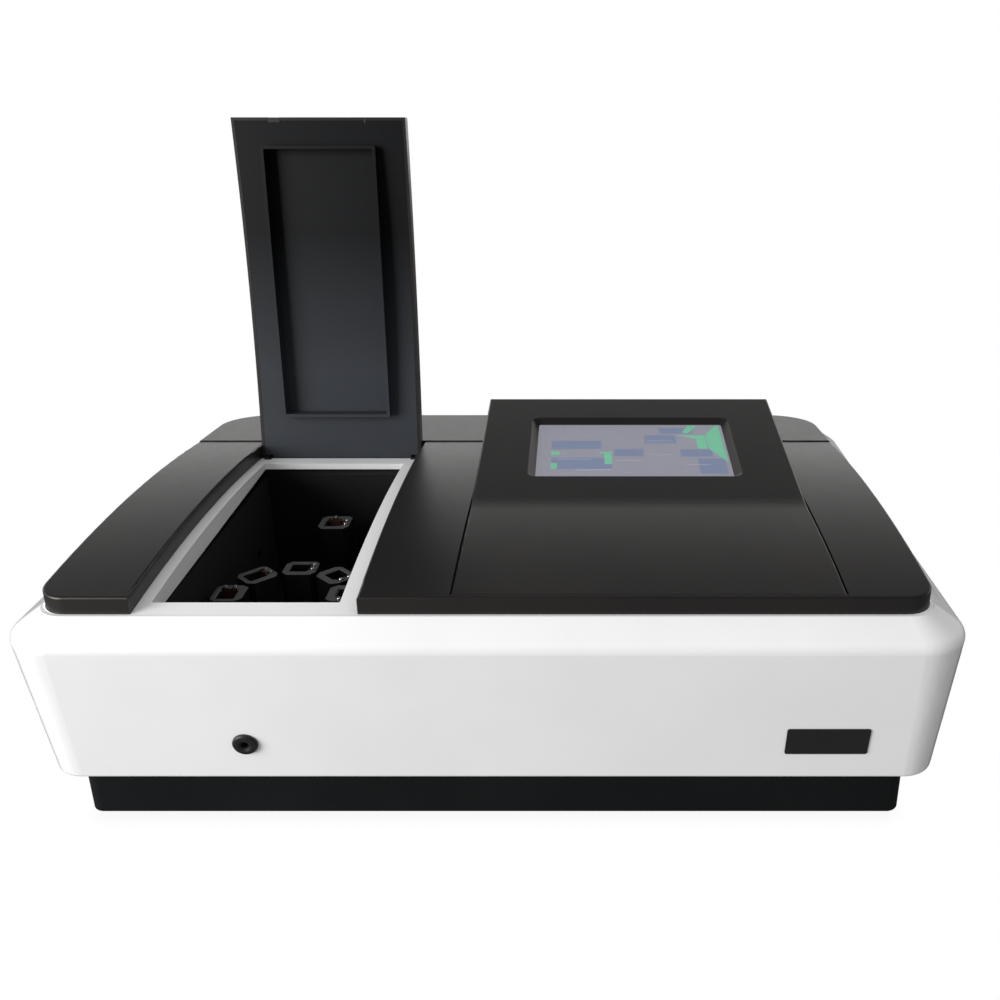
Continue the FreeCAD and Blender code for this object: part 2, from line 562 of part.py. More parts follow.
def lid_liner():
    plate = box((LID_X[0] + COVER_WALL + 0.2, LID_X[1] - COVER_WALL - 0.2),
                (LID_FRONT + COVER_WALL + 0.2, HINGE_DEPTH + 12.6),
                (LID_UNDERSIDE - 2.0, LID_UNDERSIDE + 12.0))
    plate = plate.common(below_lid_plate(LINER_THICKNESS)).cut(below_lid_plate())
    pan = rounded_slab(RIM_X, RIM_DEPTH, 1.5, (LID_UNDERSIDE - 5.0, LID_UNDERSIDE + 9.6))
    recess = rounded_slab((RIM_X[0] + 2.6, RIM_X[1] - 2.6), (RIM_DEPTH[0] + 2.6, RIM_DEPTH[1] - 2.6),
                          0.8, (LID_UNDERSIDE - 6.0, LID_UNDERSIDE + 7.2))
    slots = [box(xs, (HINGE_DEPTH - 4.4, HINGE_DEPTH + 4.0), (LID_UNDERSIDE - 1, LID_UNDERSIDE + 5))
             for xs in EAR_BAYS]
    return opened(cut(fuse([plate, pan]), [recess] + lid_end_seats() + slots))


def lid_magnet():
    (left, right), (front, back) = MAGNET
    return opened(box((left + 0.1, right - 0.1), (front + 0.3, back - 0.1),
                      (LID_UNDERSIDE + 0.3, LID_UNDERSIDE + 2.0)))


def lid_catch_tab():
    (left, right), (front, back) = CATCH
    return opened(box((left + 0.1, right - 0.1), (front + 0.1, back - 0.1),
                      (LID_UNDERSIDE + 0.35, LID_UNDERSIDE + 1.8)))


def slot_zone():
    """Zone at the hinge where the plate has slots, so that the arms may pass through it."""
    return box((-240.0, -60.0), (HINGE_DEPTH - 4.3, HINGE_DEPTH + 20.0), (DECK_Z - 20.0, 200.0))


def lid_hinge_arms():
    arms = []
    base_z = LID_UNDERSIDE + LINER_THICKNESS
    for xs in EARS:
        foot = box((xs[0], xs[1]), (258.0, HINGE_DEPTH - 5.0), (base_z, base_z + 5.2))
        web = side_prism([(270.0, base_z), (HINGE_DEPTH - 3.9, base_z), (HINGE_DEPTH - 2.6, HINGE_Z - 1.5),
                          (HINGE_DEPTH + 2.6, HINGE_Z + 1.5), (HINGE_DEPTH, 170.6), (274.0, 170.6)], xs)
        eye = rod(EYE_RADIUS, point(xs[0], HINGE_DEPTH, HINGE_Z), X, xs[1] - xs[0])
        bore = rod(PIN_RADIUS + FIT, point(xs[0] - 5, HINGE_DEPTH, HINGE_Z), X, 14)
        body = fuse([foot, web])
        seated = body.cut(below_lid_plate(LINER_THICKNESS).cut(slot_zone()))
        arms.append(opened(fuse([seated, eye]).cut(bore)))
    return arms


TROUGH_X = (CHANNEL[0] - 2.6, CHANNEL[1] + 2.6)
TROUGH_DEPTH = (275.0, 305.5)
TROUGH_FLOOR = 141.0
TROUGH_SHEET = 1.2


def hinge_trough():
    top = DECK_Z - WALL
    outer = box(TROUGH_X, TROUGH_DEPTH, (TROUGH_FLOOR, top))
    inner = box((TROUGH_X[0] + TROUGH_SHEET, TROUGH_X[1] - TROUGH_SHEET),
                (TROUGH_DEPTH[0] + TROUGH_SHEET, TROUGH_DEPTH[1] - TROUGH_SHEET),
                (TROUGH_FLOOR + TROUGH_SHEET, top + 1))
    cheeks = []
    for xs in CHEEKS:
        cheeks.append(side_prism([(TROUGH_DEPTH[0] + 1.0, 148.0), (TROUGH_DEPTH[0] + 1.0, top),
                                  (HINGE_DEPTH - 3.5, top), (HINGE_DEPTH - 2.6, HINGE_Z + 1.5),
                                  (HINGE_DEPTH + 1.5, HINGE_Z - 2.6)], xs))
        cheeks.append(rod(EYE_RADIUS, point(xs[0], HINGE_DEPTH, HINGE_Z), X, xs[1] - xs[0]))
    bores = [rod(PIN_RADIUS + FIT, point(xs[0] - 5, HINGE_DEPTH, HINGE_Z), X, 14) for xs in CHEEKS]
    return cut(fuse([outer.cut(inner)] + cheeks), bores)


def hinge_pins():
    pins = []
    for ear, cheek in zip(EARS, CHEEKS):
        start, end = min(ear[0], cheek[0]) - 0.1, max(ear[1], cheek[1]) + 0.1
        pins.append(rod(PIN_RADIUS, point(start, HINGE_DEPTH, HINGE_Z), X, end - start))
    return pins


# Sample compartment -----------------------------------------------------------------------
LINER_TOP = DECK_Z - 9.6
WINDOW_RADIUS = 4.0
BENCH_LEGS = [(x, d) for x in (-235.0, -40.0, 150.0) for d in (75.0, 300.0)]


def chamber_liner():
    ds = (OPENING_DEPTH[0] - 1.9, OPENING_DEPTH[1] + 1.9)
    outer = rounded_slab(LINER_X, ds, OPENING_CORNER + 1.9, (CHAMBER_FLOOR - 2.0, LINER_TOP))
    inner = rounded_slab(OPENING_X, OPENING_DEPTH, OPENING_CORNER, (CHAMBER_FLOOR, LINER_TOP + 1))
    windows = [rod(WINDOW_RADIUS + FIT, point(-260.0, d, BEAM_Z), X, 200.0) for d in BEAMS]
    port = rod(3.0, point(PORT_X, 5.0, PORT_Z), Y, 15.0)
    bearing = rod(9.0 + FIT, point(CAROUSEL_CENTRE[0], CAROUSEL_CENTRE[1], 40.0), Z, 30.0)
    return cut(outer.cut(inner), windows + [port, bearing])


def beam_windows():
    return [rod(WINDOW_RADIUS, point(x, d, BEAM_Z), X, 1.5)
            for x in (LINER_X[0] + 0.2, LINER_X[1] - 1.7) for d in BEAMS]


def at_cell(shape, index):
    """Place a shape drawn at the rear-most cell position round the carousel."""
    shape.rotate(point(CAROUSEL_CENTRE[0], CAROUSEL_CENTRE[1], 0), Z, -index * 360.0 / CELL_POSITIONS)
    return shape


HOLDER_BASE = 74.0
HOLDER_HALF = 12.5
HOLDER_INNER = -11.3
HOLDER_OUTER = 11.3
REFERENCE_OUTER = 15.2
SPRING_GAP = 2.2
BALL_RADIUS = 1.7
BALL_PLACES = (-1.5, 5.5)
BALL_REACH = CUVETTE / 2 + 4.3
LIGHT_SLOT = (4.4, 12.0)


def cell_centre(x, d):
    """Middle of the cell slot in a holder that stands at x, d."""
    return x + SLOT_OFFSET[0], d + SLOT_OFFSET[1]


def holder_block(x, d, outer_edge=HOLDER_OUTER):
    """Cell block: the spring is on its +X side and the carousel's centre is in front of it."""
    half, inner = HOLDER_HALF, HOLDER_INNER
    outline = [(-8.5, inner), (9.0, inner), (half, inner + 4.8), (half, outer_edge - 3.3),
               (9.5, outer_edge), (-9.0, outer_edge), (-half, outer_edge - 3.8), (-half, inner + 4.8)]
    body = plan_prism([(x + px, d + pd) for px, pd in outline], (HOLDER_BASE, HOLDER_TOP))
    cx, cd = cell_centre(x, d)
    reach = CUVETTE / 2
    slot = box((cx - reach, cx + reach), (cd - reach, cd + reach), (CELL_FLOOR, HOLDER_TOP + 1))
    lead = Part.makeLoft([rounded_wire((cx - reach - grow, cx + reach + grow),
                                       (cd - reach - grow, cd + reach + grow), 0.4 + grow, z)
                          for grow, z in ((0.0, HOLDER_TOP - 1.0), (1.0, HOLDER_TOP))], True, True)
    light_width, light_height = LIGHT_SLOT
    beam = block(x, cd, 3 * half, light_width, (BEAM_Z - light_height / 2, BEAM_Z + light_height / 2))
    return cut(body, [slot, lead, beam, spring_bay(x, d)] + [ball_seat(x, d, off) for off in BALL_PLACES])


def spring_bay(x, d):
    cx, cd = cell_centre(x, d)
    side = cx + CUVETTE / 2
    return box((side - 0.1, side + SPRING_GAP), (cd - 5.6, cd + 5.4), (CELL_FLOOR + 2, HOLDER_TOP + 1))


def ball_seat(x, d, off):
    cx = cell_centre(x, d)[0]
    reach = BALL_RADIUS + 0.2
    return box((cx + CUVETTE / 2 + SPRING_GAP - 0.6, cx + BALL_REACH + reach),
               (d + off - reach, d + off + reach), (HOLDER_TOP - 5.0, HOLDER_TOP + 1))


def leaf_spring(x, d):
    """Bent copper leaf standing on the slot's +X side, with a slot that lets the light through."""
    cx, cd = cell_centre(x, d)
    left = cx + CUVETTE / 2 + 0.05
    base = CELL_FLOOR + 2.1
    outline = [(1.5, 0), (1.5, 12), (0, 25), (0.5, 35), (1.4, 41.0),
               (1.8, 41.0), (0.9, 35), (0.4, 25), (1.9, 12), (1.9, 0)]
    points = [point(left + px, cd - 4.6, base + pz) for px, pz in outline]
    leaf = Part.Face(Part.makePolygon(points + points[:1])).extrude(Y * 9.2)
    light_width, light_height = LIGHT_SLOT
    return leaf.cut(block(left, cd, 8.0, light_width, (BEAM_Z - light_height / 2, BEAM_Z + light_height / 2)))


def ball_pin(x, d, off):
    """Polished ball-headed pin that loads the leaf from behind."""
    centre = point(cell_centre(x, d)[0] + BALL_REACH, d + off, HOLDER_TOP + 0.2)
    ball = Part.makeSphere(BALL_RADIUS, centre)
    foot = rod(0.9, centre - Z * 5.15, Z, 4.0)
    return fuse([ball, foot])


def rear_cell():
    return CAROUSEL_CENTRE[0], CAROUSEL_CENTRE[1] + CAROUSEL_RADIUS


def cell_holders():
    return [at_cell(holder_block(*rear_cell()), index) for index in range(CELL_POSITIONS)]


def cell_springs():
    return [at_cell(leaf_spring(*rear_cell()), index) for index in range(CELL_POSITIONS)]


def cell_ball_pins():
    return [at_cell(ball_pin(*rear_cell(), off), index) for index in range(CELL_POSITIONS)
            for off in BALL_PLACES]


def carousel_hub():
    at = point(CAROUSEL_CENTRE[0], CAROUSEL_CENTRE[1], 0)
    profile = [(0, 36.0), (4.0, 36.0), (4.0, 66.0), (14.0, 66.0), (53.0, 69.0), (54.0, 70.0),
               (54.0, HOLDER_BASE), (22.0, HOLDER_BASE), (20.0, 78.0), (13.0, 80.0), (12.0, 104.0),
               (9.0, 107.0), (0, 107.0)]
    return turned(profile, at)


def carousel_bearing():
    at = point(CAROUSEL_CENTRE[0], CAROUSEL_CENTRE[1], 0)
    profile = [(4.0 + FIT, 50.5), (9.0, 50.5), (9.0, CHAMBER_FLOOR), (13.0, CHAMBER_FLOOR),
               (13.0, CHAMBER_FLOOR + 3.0), (4.0 + FIT, CHAMBER_FLOOR + 3.0)]
    return turned(profile, at)


def stepper(x, d, z_low, z_high, width, shaft_clear):
    body = block(x, d, width, width, (z_low, z_high))
    uprights = edges_where(body, lambda e: e.BoundBox.ZLength > 5)
    body = body.makeChamfer(3.0, uprights)
    plug = block(x - width / 2 - 1.5, d, 5.0, 12.0, (z_low + 2, z_low + 9))
    return fuse([body, plug]).cut(rod(shaft_clear, point(x, d, z_high - 16), Z, 20))


def carousel_motor():
    return stepper(CAROUSEL_CENTRE[0], CAROUSEL_CENTRE[1], 13.0, 44.0, 42.0, 4.0 + FIT)


def turned_to_rear(shape):
    """Turn a spring part of the reference holder from its cell's +X side to its rear side."""
    cx, cd = cell_centre(*REFERENCE_CENTRE)
    shape.rotate(point(cx, cd, 0), Z, 90.0)
    return shape


def reference_holder():
    x, d = REFERENCE_CENTRE
    body = holder_block(x, d, REFERENCE_OUTER)
    foot = box((x - 16.0, x + 16.0), (d - 18.0, d + 18.0), (CHAMBER_FLOOR, CHAMBER_FLOOR + 4.0))
    post = box((x - 8.0, x + 8.0), (d - 8.0, d + 8.0), (CHAMBER_FLOOR + 3.0, HOLDER_BASE + 1))
    rear_bay = turned_to_rear(spring_bay(x, d))
    rear_seat = turned_to_rear(ball_seat(x, d, SLOT_OFFSET[1]))
    return cut(fuse([body, foot, post]), [rear_bay, rear_seat])


def reference_springs():
    return [leaf_spring(*REFERENCE_CENTRE), turned_to_rear(leaf_spring(*REFERENCE_CENTRE))]


def reference_ball_pins():
    side = [ball_pin(*REFERENCE_CENTRE, off) for off in BALL_PLACES]
    return side + [turned_to_rear(ball_pin(*REFERENCE_CENTRE, SLOT_OFFSET[1]))]


# Optics -----------------------------------------------------------------------------------
MONO = ((-60.0, 135.0), (105.0, 290.0))
MONO_TOP = 148.0
GRATING_AT = (60.0, 245.0)
MIRROR_AT = [(-25.0, 205.0), (100.0, 150.0)]
LAMP_BOX = ((160.0, 244.0), (105.0, 232.0))
SOURCE_MIRROR_AT = (186.0, 140.0)
FILTER_AT = (146.5, 160.0)


def optical_bench():
    plate = rounded_slab((-251.0, 251.0), (45.0, 318.0), 10.0, (38.0, BENCH_TOP))
    motor_bay = block(CAROUSEL_CENTRE[0] - 2.0, CAROUSEL_CENTRE[1], 52.0, 50.0, (30, 60))
    grating_bay = rod(15.0, point(GRATING_AT[0], GRATING_AT[1], 30), Z, 30)
    wheel_bay = block(FILTER_AT[0], FILTER_AT[1], 9.0, 64.0, (BENCH_TOP - 4.0, BENCH_TOP + 1))
    pillars = [rod(5.0, point(x, d, BENCH_TOP - 1), Z, CHAMBER_FLOOR - 1.0 - BENCH_TOP)
               for x in (-200.0, -103.0) for d in (60.0, 255.0)]
    return fuse([cut(plate, [motor_bay, grating_bay, wheel_bay])] + pillars)


def detector_housings():
    blocks = []
    for d in BEAMS:
        body = box((-250.0, LINER_X[0] - 0.4), (d - 20.0, d + 20.0), (BENCH_TOP, 128.0))
        tunnel = rod(8.0, point(-246.0, d, BEAM_Z), X, 60.0)
        blocks.append(body.cut(tunnel))
    return blocks


def photodiodes():
    return [fuse([rod(7.9, point(-246.0, d, BEAM_Z), X, 4.0), rod(5.0, point(-242.5, d, BEAM_Z), X, 1.5)])
            for d in BEAMS]


def monochromator_housing():
    outer = rounded_slab(MONO[0], MONO[1], 8.0, (BENCH_TOP, MONO_TOP))
    inner = rounded_slab((MONO[0][0] + 4, MONO[0][1] - 4), (MONO[1][0] + 4, MONO[1][1] - 4), 5.0,
                         (BENCH_TOP + 5.0, MONO_TOP + 1))
    exits = [rod(7.0, point(MONO[0][0] - 5, d, BEAM_Z), X, 15.0) for d in BEAMS]
    entrance = rod(7.0, point(MONO[0][1] - 5, FILTER_AT[1], BEAM_Z), X, 15.0)
    spindle = rod(6.0, point(GRATING_AT[0], GRATING_AT[1], 40), Z, 20)
    return cut(outer.cut(inner), exits + [entrance, spindle])


def monochromator_lid():
    plate = rounded_slab(MONO[0], MONO[1], 8.0, (MONO_TOP, MONO_TOP + 2.0))
    rib = rounded_slab((MONO[0][0] + 30, MONO[0][1] - 30), (MONO[1][0] + 30, MONO[1][1] - 30), 8.0,
                       (MONO_TOP + 2.0, MONO_TOP + 4.0))
    return fuse([plate, rib])


def slit_plates():
    plates = []
    for x, d in ((MONO[0][0] + 4.0, SAMPLE_BEAM), (MONO[0][0] + 4.0, REFERENCE_BEAM),
                 (MONO[0][1] - 5.0, FILTER_AT[1])):
        plate = box((x, x + 1.0), (d - 14.0, d + 14.0), (BEAM_Z - 18.0, BEAM_Z + 18.0))
        plates.append(plate.cut(box((x - 1, x + 2), (d - 0.6, d + 0.6), (BEAM_Z - 5, BEAM_Z + 5))))
    return plates


def collimating_mirrors():
    mirrors = []
    for (x, d), turn in zip(MIRROR_AT, (20.0, -150.0)):
        disc = rod(19.0, point(x, d, BEAM_Z), X, 8.0).cut(Part.makeSphere(120.0, point(x + 125.5, d, BEAM_Z)))
        stand = box((x - 6.0, x), (d - 10.0, d + 10.0), (BENCH_TOP + 5.0, BEAM_Z + 12.0))
        whole = fuse([disc, stand])
        whole.rotate(point(x, d, 0), Z, turn)
        mirrors.append(whole)
    return mirrors


def beam_splitter():
    plate = block(-20.0, SAMPLE_BEAM, 1.5, 26.0, (BENCH_TOP + 17.0, BEAM_Z + 14.0))
    foot = block(-20.0, SAMPLE_BEAM, 10.0, 30.0, (BENCH_TOP + 5.0, BENCH_TOP + 17.0))
    whole = fuse([plate, foot])
    whole.rotate(point(-20.0, SAMPLE_BEAM, 0), Z, 45.0)
    return whole


def grating_table():
    x, d = GRATING_AT
    profile = [(0, 38.0), (3.0, 38.0), (3.0, 59.0), (22.0, 59.0), (22.0, 65.0), (0, 65.0)]
    table = turned(profile, point(x, d, 0))
    clamp = block(x, d + 8.0, 34.0, 6.0, (64.0, 110.0))
    return fuse([table, clamp])


def diffraction_grating():
    return block(GRATING_AT[0], GRATING_AT[1] + 2.0, 30.0, 6.0, (78.0, 108.0))


def grating_motor():
    x, d = GRATING_AT
    body = rod(14.0, point(x, d, 14.0), Z, 29.0)
    nose = turned([(0, 42.0), (5.9, 42.0), (5.9, BENCH_TOP + 5.0), (9.0, BENCH_TOP + 5.0), (9.0, 58.5),
                   (0, 58.5)], point(x, d, 0))
    return fuse([body, nose]).cut(rod(3.0 + FIT, point(x, d, 34.0), Z, 30.0))


def lamp_housing():
    outer = rounded_slab(LAMP_BOX[0], LAMP_BOX[1], 6.0, (BENCH_TOP, 146.0))
    inner = rounded_slab((LAMP_BOX[0][0] + 3, LAMP_BOX[0][1] - 3), (LAMP_BOX[1][0] + 3, LAMP_BOX[1][1] - 3),
                         3.0, (BENCH_TOP + 4.0, 147.0))
    window = rod(8.0, point(LAMP_BOX[0][0] - 5, FILTER_AT[1], BEAM_Z), X, 12.0)
    fins = [box((LAMP_BOX[0][1] - 0.5, LAMP_BOX[0][1] + 8.0), (d, d + 2.5), (60.0, 138.0))
            for d in range(118, 224, 12)]
    return cut(fuse([outer.cut(inner)] + fins), [window])


LAMPS = [(222.0, 195.0, 8.0, 11.0, 122.0), (220.0, 135.0, 14.0, 17.0, 132.0)]


def lamp_bulbs():
    """Tungsten-halogen and deuterium envelopes: straight tube with a domed top."""
    bulbs = []
    for x, d, radius, _, top in LAMPS:
        tube = rod(radius, point(x, d, 80.0), Z, top - radius - 80.0)
        bulbs.append(fuse([tube, Part.makeSphere(radius, point(x, d, top - radius))]))
    return bulbs


def lamp_bases():
    return [turned([(0, 54.0), (radius, 54.0), (radius, 76.0), (radius - 2, 80.0), (0, 80.0)],
                   point(x, d, 0)) for x, d, _, radius, _ in LAMPS]


def source_mirror():
    x, d = SOURCE_MIRROR_AT
    shaft = rod(2.5, point(x, d, 56.0), Z, 26.0)
    holder = block(x, d, 6.0, 26.0, (82.0, 118.0))
    whole = fuse([shaft, holder])
    whole.rotate(point(x, d, 0), Z, 30.0)
    return whole


def source_mirror_motor():
    x, d = SOURCE_MIRROR_AT
    body = rod(11.0, point(x, d, 54.0), Z, 22.0)
    return body.cut(rod(2.5 + FIT, point(x, d, 55.5), Z, 30.0))


def filter_wheel():
    x, d = FILTER_AT
    hub = rod(6.0, point(x - 3.0, d, BEAM_Z - 22.0), X, 6.0)
    disc = rod(30.0, point(x - 1.5, d, BEAM_Z - 22.0), X, 3.0)
    holes = []
    for index in range(8):
        turn = math.radians(index * 45.0)
        holes.append(rod(6.5, point(x - 5, d + 22.0 * math.sin(turn), BEAM_Z - 22.0 + 22.0 * math.cos(turn)),
                         X, 10.0))
    return cut(fuse([hub, disc]), holes + [rod(2.0 + FIT, point(x - 5, d, BEAM_Z - 22.0), X, 10)])


def filter_bracket():
    x, d = FILTER_AT
    axle = rod(2.0, point(x - 4.5, d, BEAM_Z - 22.0), X, 14.0)
    plate = box((x + 7.0, x + 9.5), (d - 12.0, d + 12.0), (BENCH_TOP, BEAM_Z - 12.0))
    return fuse([axle, plate])


# Electronics and rear panel ---------------------------------------------------------------
FAN_AT = (175.0, 95.0)
INLET_AT = (-112.0, 95.0)
SWITCH_AT = (-66.0, 95.0)
FUSE_AT = (-112.0, 118.5)
PORTS_AT = (0.0, 88.0)


def main_board():
    board = box((5.0, 255.0), (16.0, 92.0), (62.0, 63.6))
    chips = [box((x, x + w), (d, d + w), (63.5, 66.5)) for x, d, w in
             ((40, 34, 26), (90, 40, 18), (130, 30, 14), (170, 50, 22), (215, 28, 12))]
    caps = [rod(6.0, point(x, 78.0, 63.5), Z, 16.0) for x in (60.0, 80.0, 100.0, 200.0, 220.0)]
    spacers = [rod(3.0, point(x, d, BENCH_TOP), Z, 62.5 - BENCH_TOP)
               for x in (12.0, 248.0) for d in (50.0, 86.0)]
    return fuse([board] + chips + caps + spacers)


def power_supply():
    case = rounded_slab((-235.0, -165.0), (322.0, 404.0), 2.0, (52.0, 110.0))
    feet = [block(x, d, 10.0, 10.0, (PAN_FLOOR, 52.5)) for x in (-225.0, -175.0) for d in (332.0, 394.0)]
    slots = [box((x, x + 3.0), (335.0, 391.0), (108.5, 111.0)) for x in range(-228, -172, 8)]
    return cut(fuse([case] + feet), slots)


def rear_panel():
    plate = box((REAR_OPENING_X[0] - 8, REAR_OPENING_X[1] + 8), REAR_PLATE,
                (REAR_OPENING_Z[0] - 6, REAR_OPENING_Z[1] + 4))
    grille = []
    for ring in range(5):
        radius = 8.0 + ring * 7.0
        ring_solid = rod(radius + 2.4, point(FAN_AT[0], 410, FAN_AT[1]), Y, 10.0)
        grille.append(ring_solid.cut(rod(radius - 2.4, point(FAN_AT[0], 409, FAN_AT[1]), Y, 12.0)))
    spokes = []
    for turn in (0, 45, 90, 135):
        spoke = box((-42.0, 42.0), (408.0, 422.0), (-1.6, 1.6))
        spoke.rotate(point(0, 0, 0), Y, turn)
        spoke.translate(FreeCAD.Vector(FAN_AT[0], 0, FAN_AT[1]))
        spokes.append(spoke)
    vents = cut(fuse(grille), spokes)
    inlet = box((INLET_AT[0] - 14.0, INLET_AT[0] + 14.0), (408, 422),
                (INLET_AT[1] - 10.5, INLET_AT[1] + 10.5))
    fuse_hole = box((FUSE_AT[0] - 9.2, FUSE_AT[0] + 9.2), (408, 422), (FUSE_AT[1] - 5.2, FUSE_AT[1] + 5.2))
    switch = box((SWITCH_AT[0] - 7.1, SWITCH_AT[0] + 7.1), (408, 422),
                 (SWITCH_AT[1] - 11.1, SWITCH_AT[1] + 11.1))
    ports = [box((PORTS_AT[0] + off - 7.1, PORTS_AT[0] + off + 7.1), (408, 422),
                 (PORTS_AT[1] - 3.9, PORTS_AT[1] + 3.9)) for off in PORT_OFFSETS]
    slots = [box((x, x + 3.0), (408, 422), (112.0, 128.0)) for x in range(-30, 100, 8)]
    screws = [rod(2.0 + FIT, point(x, 405, z), Y, 20) for x, z in PANEL_SCREWS]
    fan_holes = [rod(2.0 + FIT, point(x, 405, z), Y, 20) for x, z in FAN_SCREWS]
    return cut(plate, [vents, inlet, fuse_hole, switch] + ports + slots + screws + fan_holes)


PORT_OFFSETS = (-28.0, 0.0, 28.0)
PANEL_SCREWS = [(x, z) for x in (-143.0, 228.0) for z in (64.0, 127.0)]
FAN_SCREWS = [(FAN_AT[0] + sx * 35.75, FAN_AT[1] + sz * 35.75) for sx in (-1, 1) for sz in (-1, 1)]


def rear_screws():
    """Screws through the rear panel: four hold the panel, four hold the fan."""
    return [screw(point(x, REAR_PLATE[1], z), Y * -1, 3.8, 2.2, 2.0, 9.0)
            for x, z in PANEL_SCREWS + FAN_SCREWS]


def mains_inlet():
    x, z = INLET_AT
    flange = box((x - 16.0, x + 16.0), (REAR_PLATE[1], REAR_PLATE[1] + 2.0), (z - 12.5, z + 12.5))
    body = box((x - 13.8, x + 13.8), (398.0, REAR_PLATE[1] + 1), (z - 10.3, z + 10.3))
    socket = box((x - 12.0, x + 12.0), (403.0, 425.0), (z - 8.5, z + 8.5))
    blades = [box((x + px - 1.0, x + px + 1.0), (402.0, 414.0), (z + pz - 2.0, z + pz + 2.0))
              for px, pz in ((-7.0, -2.0), (0.0, 2.5), (7.0, -2.0))]
    return fuse([fuse([flange, body]).cut(socket)] + blades)


def fuse_drawer():
    x, z = FUSE_AT
    body = box((x - 9.0, x + 9.0), (396.0, REAR_PLATE[1] + 1.0), (z - 5.0, z + 5.0))
    face = box((x - 10.5, x + 10.5), (REAR_PLATE[1] + 0.1, REAR_PLATE[1] + 2.6), (z - 6.4, z + 6.0))
    notch = box((x - 4.0, x + 4.0), (REAR_PLATE[1] + 1.5, REAR_PLATE[1] + 4), (z + 3.5, z + 8.0))
    wells = [rod(2.7, point(x + off, 398.0, z + 1.2), Z, 8.0) for off in (-5.0, 5.0)]
    return cut(fuse([body, face]), [notch] + wells)


def switch_frame():
    x, z = SWITCH_AT
    flange = box((x - 9.0, x + 9.0), (REAR_PLATE[1], REAR_PLATE[1] + 1.6), (z - 13.0, z + 13.0))
    body = box((x - 7.0, x + 7.0), (399.0, REAR_PLATE[1] + 1), (z - 11.0, z + 11.0))
    well = box((x - 5.2, x + 5.2), (404.0, 425.0), (z - 9.4, z + 9.4))
    return fuse([flange, body]).cut(well)


ROCKER_PIVOT = 411.0
ROCKER_TILT = 7.0


def power_rocker():
    """Rocker cap drawn in its OFF position, lower half standing proud."""
    x, z = SWITCH_AT
    points = [(ROCKER_PIVOT - 3.5, -4.0), (ROCKER_PIVOT - 3.5, 4.0), (ROCKER_PIVOT + 5.0, 8.3),
              (ROCKER_PIVOT + 9.3, 8.3), (ROCKER_PIVOT + 8.0, 0.0), (ROCKER_PIVOT + 9.3, -8.3),
              (ROCKER_PIVOT + 5.0, -8.3)]
    cap = side_prism([(d, z + h) for d, h in points], (x - 5.0, x + 5.0))
    cap.rotate(point(x, ROCKER_PIVOT, z), X, -ROCKER_TILT)
    return cap


def data_ports():
    sockets = []
    for off in PORT_OFFSETS:
        x, z = PORTS_AT[0] + off, PORTS_AT[1]
        shell = box((x - 7.0, x + 7.0), (402.0, REAR_PLATE[1] + 1.0), (z - 3.8, z + 3.8))
        hole = box((x - 6.3, x + 6.3), (405.0, 422.0), (z - 3.1, z + 3.1))
        tongue = box((x - 5.0, x + 5.0), (404.5, 416.0), (z + 0.4, z + 2.0))
        sockets.append(fuse([shell.cut(hole), tongue]))
    return sockets


def fan_frame():
    x, z = FAN_AT
    ds = (REAR_PLATE[0] - 25.0, REAR_PLATE[0])
    body = box((x - 40.0, x + 40.0), ds, (z - 40.0, z + 40.0))
    bore = rod(38.0, point(x, ds[0] - 1, z), Y, 27.0)
    core = fuse([rod(15.0, point(x, ds[0], z), Y, 4.0), rod(2.0, point(x, ds[0], z), Y, 20.0)])
    struts = []
    for turn in (45, 135, 225, 315):
        strut = box((0.0, 39.5), (ds[0], ds[0] + 3.0), (-2.0, 2.0))
        strut.rotate(point(0, 0, 0), Y, turn)
        strut.translate(FreeCAD.Vector(x, 0, z))
        struts.append(strut)
    holes = [rod(2.0 + FIT, point(px, ds[0] - 1, pz), Y, 30) for px, pz in FAN_SCREWS]
    return cut(fuse([body.cut(bore), core] + struts), holes)


def fan_rotor():
    x, z = FAN_AT
    front = REAR_PLATE[0] - 25.0 + 5.0
    hub = fuse([rod(16.0, point(x, front, z), Y, 18.0)])
    blades = []
    for index in range(7):
        blade = box((14.0, 36.5), (-7.5 - FRONT, 7.5 - FRONT), (-0.8, 0.8))
        blade.rotate(FreeCAD.Vector(), X, 42.0)
        blade.rotate(FreeCAD.Vector(), Y, index * 360.0 / 7)
        blade.translate(point(x, front + 9.0, z))
        blades.append(blade)
    bore = rod(2.0 + FIT, point(x, front - 1, z), Y, 16.4)
    return fuse([hub] + blades).cut(bore)


def housing_screws():
    """Identical screws: pan to shell from below, and deck to covers from inside."""
    up_from_pan = [point(x, d, PLINTH_TOP - 2.5) for x, d in PAN_TABS]
    up_from_deck = [point(x, d, DECK_Z - WALL) for x, d in COVER_SCREWS]
    return [screw(at, Z, 3.4, 2.2, SCREW_RADIUS, 9.0) for at in up_from_pan + up_from_deck]


